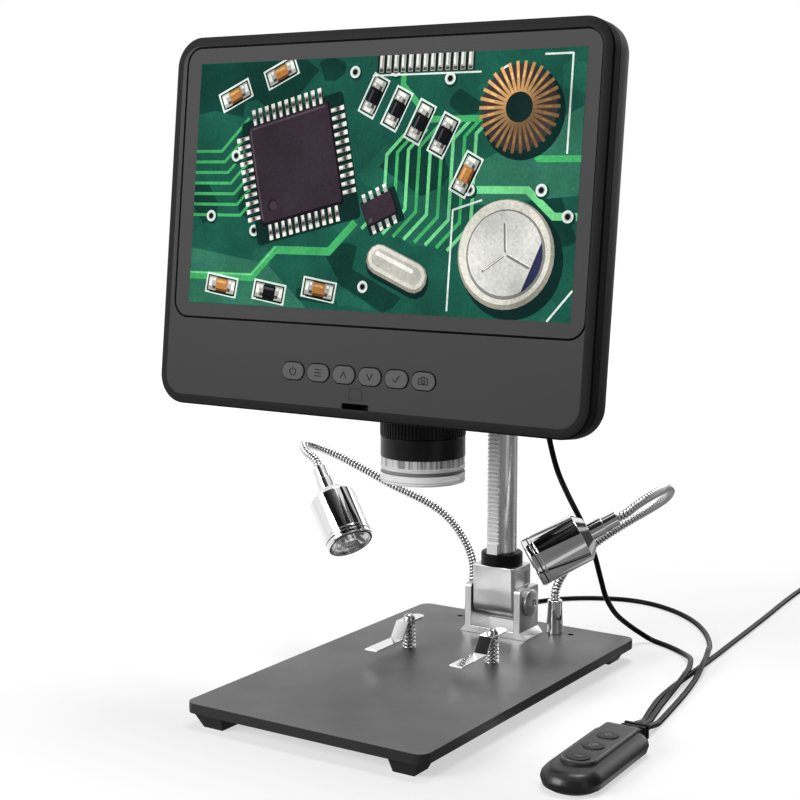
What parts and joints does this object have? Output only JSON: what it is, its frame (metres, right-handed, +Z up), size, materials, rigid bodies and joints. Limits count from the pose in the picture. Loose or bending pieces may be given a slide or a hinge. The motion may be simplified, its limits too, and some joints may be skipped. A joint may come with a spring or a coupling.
{
  "type": "lcd digital microscope",
  "caption": "Bench microscope with a monitor and camera on a tilting rack column, a base plate with stage clips, two gooseneck lamps and a wired remote",
  "frame": {"origin": "centre of the base plate's top face, where the specimen lies", "axes": "+X to the right seen from the screen side, +Y away from the viewer, +Z up"},
  "size_m": [0.2713, 0.404, 0.29],
  "materials": {
    "plate": "satin dark grey",
    "rubber": "matte",
    "screw_steel": "satin",
    "satin_steel": "satin",
    "chrome": "polished",
    "clip_steel": "polished",
    "spring_steel": "polished",
    "lamp_chrome": "satin chrome plated",
    "lamp_lens": "clear lens over an LED",
    "black_plastic": "moulded black",
    "carriage_black": "black anodised",
    "bezel_plastic": "fine matte charcoal",
    "cover_plastic": "fine matte charcoal",
    "window_plastic": "matte charcoal surround of the picture",
    "panel": "liquid crystal panel",
    "board": "green circuit board",
    "led_board": "white circuit board",
    "socket_metal": "plain",
    "button_plastic": "matte grey",
    "clear_plastic": "clear",
    "cord": "black cord jacket",
    "remote_plastic": "semi-gloss dark grey"
  },
  "bodies": {
    "base": {"base_plate": "plate", "rubber_feet": "rubber", "base_screws": "screw_steel", "hinge_bracket": "satin_steel", "lamp_sockets": "chrome", "socket_nuts": "screw_steel", "wiring_cover": "black_plastic", "clip_screws": "chrome", "gooseneck_left": "spring_steel", "gooseneck_right": "spring_steel", "monitor_cord_lower": "cord", "lamp_cord": "cord", "power_cord": "cord", "power_cord_coil": "cord", "usb_plug": "black_plastic", "remote_top_shell": "remote_plastic", "remote_bottom_shell": "remote_plastic", "remote_strain_relief": "black_plastic"},
    "column": {"pivot_block": "satin_steel", "pivot_bolt": "chrome", "pivot_nut": "screw_steel", "post_collar": "black_plastic", "post_tube": "chrome", "rack_bar": "chrome", "post_cap": "black_plastic"},
    "head": {"focus_carriage": "carriage_black", "front_bezel": "bezel_plastic", "rear_cover": "cover_plastic", "lcd_panel": "panel", "display_window": "window_plastic", "main_board": "board", "card_socket": "socket_metal", "housing_screws": "screw_steel", "camera_barrel": "carriage_black", "sensor_board": "board", "objective_lens": "carriage_black", "light_ring": "clear_plastic", "led_board": "led_board", "monitor_cord_relief": "black_plastic", "monitor_cord_upper": "cord"},
    "focus_knob_set": {"pinion_shaft": "chrome", "focus_knobs": "black_plastic"},
    "focus_collar": {"focus_ring": "carriage_black"},
    "key_power": {"button_power": "button_plastic"},
    "key_menu": {"button_menu": "button_plastic"},
    "key_up": {"button_up": "button_plastic"},
    "key_down": {"button_down": "button_plastic"},
    "key_confirm": {"button_confirm": "button_plastic"},
    "key_camera": {"button_camera": "button_plastic"},
    "remote_key_top": {"remote_button_top": "remote_plastic"},
    "remote_key_middle": {"remote_button_middle": "remote_plastic"},
    "remote_key_bottom": {"remote_button_bottom": "remote_plastic"},
    "spring_left": {"clip_spring_left": "spring_steel"},
    "stage_clip_left": {"clip_left": "clip_steel"},
    "spring_right": {"clip_spring_right": "spring_steel"},
    "stage_clip_right": {"clip_right": "clip_steel"},
    "lamp_left": {"lamp_head_left": "lamp_chrome", "lamp_lens_left": "lamp_lens"},
    "lamp_right": {"lamp_head_right": "lamp_chrome", "lamp_lens_right": "lamp_lens"}
  },
  "joints": [
    {"name": "column_tilt", "type": "hinge", "parent": "base", "child": "column", "pos_m": [0, 0.07, 0.0165], "axis": [1, 0, 0], "range_deg": [-30, 10], "deforming": ["monitor_cord_lower"]},
    {"name": "head_slide", "type": "slide", "parent": "column", "child": "head", "axis": [0, 0, 1], "range_m": [-0.05, 0.06], "deforming": ["monitor_cord_upper"]},
    {"name": "focus_knob_turn", "type": "hinge", "parent": "head", "child": "focus_knob_set", "pos_m": [0, 0.05501, 0.155], "axis": [1, 0, 0], "range_deg": [-601, 501]},
    {"name": "focus_ring_turn", "type": "hinge", "parent": "head", "child": "focus_collar", "pos_m": [0, -0.0017, 0.115], "axis": [0, 0, 1], "range_deg": [-150, 150]},
    {"name": "press_power", "type": "slide", "parent": "head", "child": "key_power", "axis": [0, 0.9935, -0.1141], "range_m": [0, 0.0008], "stiffness_N_per_m": 800, "springref_m": -0.0005},
    {"name": "press_menu", "type": "slide", "parent": "head", "child": "key_menu", "axis": [0, 0.9935, -0.1141], "range_m": [0, 0.0008], "stiffness_N_per_m": 800, "springref_m": -0.0005},
    {"name": "press_up", "type": "slide", "parent": "head", "child": "key_up", "axis": [0, 0.9935, -0.1141], "range_m": [0, 0.0008], "stiffness_N_per_m": 800, "springref_m": -0.0005},
    {"name": "press_down", "type": "slide", "parent": "head", "child": "key_down", "axis": [0, 0.9935, -0.1141], "range_m": [0, 0.0008], "stiffness_N_per_m": 800, "springref_m": -0.0005},
    {"name": "press_confirm", "type": "slide", "parent": "head", "child": "key_confirm", "axis": [0, 0.9935, -0.1141], "range_m": [0, 0.0008], "stiffness_N_per_m": 800, "springref_m": -0.0005},
    {"name": "press_camera", "type": "slide", "parent": "head", "child": "key_camera", "axis": [0, 0.9935, -0.1141], "range_m": [0, 0.0008], "stiffness_N_per_m": 800, "springref_m": -0.0005},
    {"name": "press_remote_top", "type": "slide", "parent": "base", "child": "remote_key_top", "axis": [0, 0, -1], "range_m": [0, 0.0006], "stiffness_N_per_m": 800, "springref_m": -0.0005},
    {"name": "press_remote_middle", "type": "slide", "parent": "base", "child": "remote_key_middle", "axis": [0, 0, -1], "range_m": [0, 0.0006], "stiffness_N_per_m": 800, "springref_m": -0.0005},
    {"name": "press_remote_bottom", "type": "slide", "parent": "base", "child": "remote_key_bottom", "axis": [0, 0, -1], "range_m": [0, 0.0006], "stiffness_N_per_m": 800, "springref_m": -0.0005},
    {"name": "clip_swivel_left", "type": "hinge", "parent": "base", "child": "spring_left", "pos_m": [-0.0223, 0.022, 0], "axis": [0, 0, 1], "continuous": true},
    {"name": "clip_lift_left", "type": "slide", "parent": "spring_left", "child": "stage_clip_left", "axis": [0, 0, 1], "range_m": [-0.006, 0], "stiffness_N_per_m": 400, "springref_m": 0.003, "deforming": ["clip_spring_left"]},
    {"name": "clip_swivel_right", "type": "hinge", "parent": "base", "child": "spring_right", "pos_m": [0.0223, 0.022, 0], "axis": [0, 0, 1], "continuous": true},
    {"name": "clip_lift_right", "type": "slide", "parent": "spring_right", "child": "stage_clip_right", "axis": [0, 0, 1], "range_m": [-0.006, 0], "stiffness_N_per_m": 400, "springref_m": 0.003, "deforming": ["clip_spring_right"]},
    {"name": "lamp_bend_left", "type": "hinge", "parent": "base", "child": "lamp_left", "pos_m": [-0.08717, 0.03651, 0.08306], "axis": [-0.4264, -0.9045, 0], "range_deg": [-20, 20], "deforming": ["gooseneck_left"]},
    {"name": "lamp_bend_right", "type": "hinge", "parent": "base", "child": "lamp_right", "pos_m": [0.0706, 0.06435, 0.0691], "axis": [-0.6045, 0.7966, 0], "range_deg": [-20, 20], "deforming": ["gooseneck_right"]}
  ],
  "couplings": [
    {"joint": "focus_knob_turn", "follows": "head_slide", "rad_per_m": -174.53}
  ]
}
